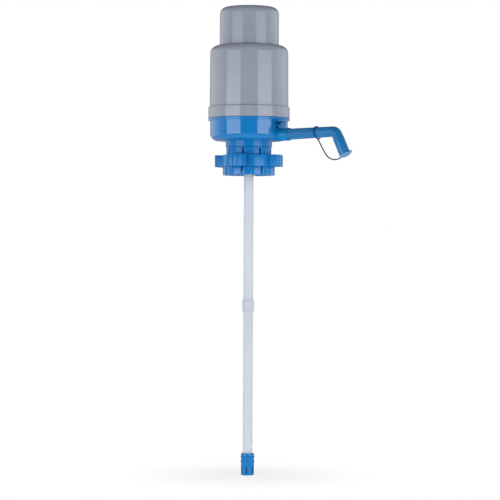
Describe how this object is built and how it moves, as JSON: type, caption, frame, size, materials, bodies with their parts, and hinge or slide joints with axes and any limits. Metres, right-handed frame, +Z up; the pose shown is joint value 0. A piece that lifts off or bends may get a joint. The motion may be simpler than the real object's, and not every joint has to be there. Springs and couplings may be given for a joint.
{
  "type": "water bottle hand pump",
  "caption": "Press-top hand pump that clamps on the neck of a large water bottle, with a bellows under its cap, a bent spout with a tethered plug and a long dip tube.",
  "frame": {"origin": "on the pump's axis, in the plane where the bottle's rim seats on the neck gasket", "axes": "+Z up along the pump's axis, +X the way the spout points"},
  "size_m": [0.2433, 0.119, 0.6844],
  "materials": {
    "blue_gloss": "glossy moulded",
    "grey_gloss": "glossy moulded",
    "blue_clear": "translucent soft",
    "tube_milky": "milky translucent",
    "silicone_white": "soft silicone",
    "seal_black": "satin",
    "bellows_blue": "satin",
    "inner_white": "moulded",
    "screw_steel": "plated"
  },
  "bodies": {
    "pump_body": {"base_housing": "blue_gloss", "neck_collet": "blue_gloss", "neck_gasket": "silicone_white", "barrel": "grey_gloss", "bellows": "bellows_blue", "bellows_ring": "inner_white", "plate_screws": "screw_steel", "valve_plate": "inner_white", "plate_seal": "silicone_white", "discharge_retainer": "screw_steel", "outlet_elbow": "inner_white", "elbow_seal": "seal_black", "spout_seal": "seal_black", "tube_upper": "tube_milky", "tube_coupling": "tube_milky", "tube_lower": "tube_milky", "strainer": "blue_gloss", "spout": "blue_gloss", "tether_ring": "blue_clear"},
    "press_cap": {"push_cap": "grey_gloss", "head_plate": "inner_white", "head_ring": "inner_white", "head_screws": "screw_steel", "intake_retainer": "screw_steel"},
    "turn_ring": {"lock_ring": "blue_gloss"},
    "plug": {"spout_cap": "blue_clear", "tether_strap": "blue_clear"},
    "discharge_disc": {"discharge_valve": "silicone_white"},
    "intake_disc": {"intake_valve": "silicone_white"}
  },
  "joints": [
    {"name": "cap_press", "type": "slide", "parent": "pump_body", "child": "press_cap", "axis": [0, 0, -1], "range_m": [0, 0.048], "stiffness_N_per_m": 300, "springref_m": -0.012, "deforming": ["bellows"]},
    {"name": "ring_turn", "type": "hinge", "parent": "pump_body", "child": "turn_ring", "pos_m": [0, 0, -0.0192], "axis": [0, 0, 1], "range_deg": [0, 22.5]},
    {"name": "plug_pull", "type": "slide", "parent": "pump_body", "child": "plug", "axis": [0.4446, 0, -0.8957], "range_m": [0, 0.009]},
    {"name": "discharge_lift", "type": "slide", "parent": "pump_body", "child": "discharge_disc", "axis": [0, 0, -1], "range_m": [0, 0.0015], "stiffness_N_per_m": 20, "springref_m": -0.003},
    {"name": "intake_lift", "type": "slide", "parent": "press_cap", "child": "intake_disc", "axis": [0, 0, -1], "range_m": [0, 0.0015], "stiffness_N_per_m": 20, "springref_m": -0.003}
  ]
}
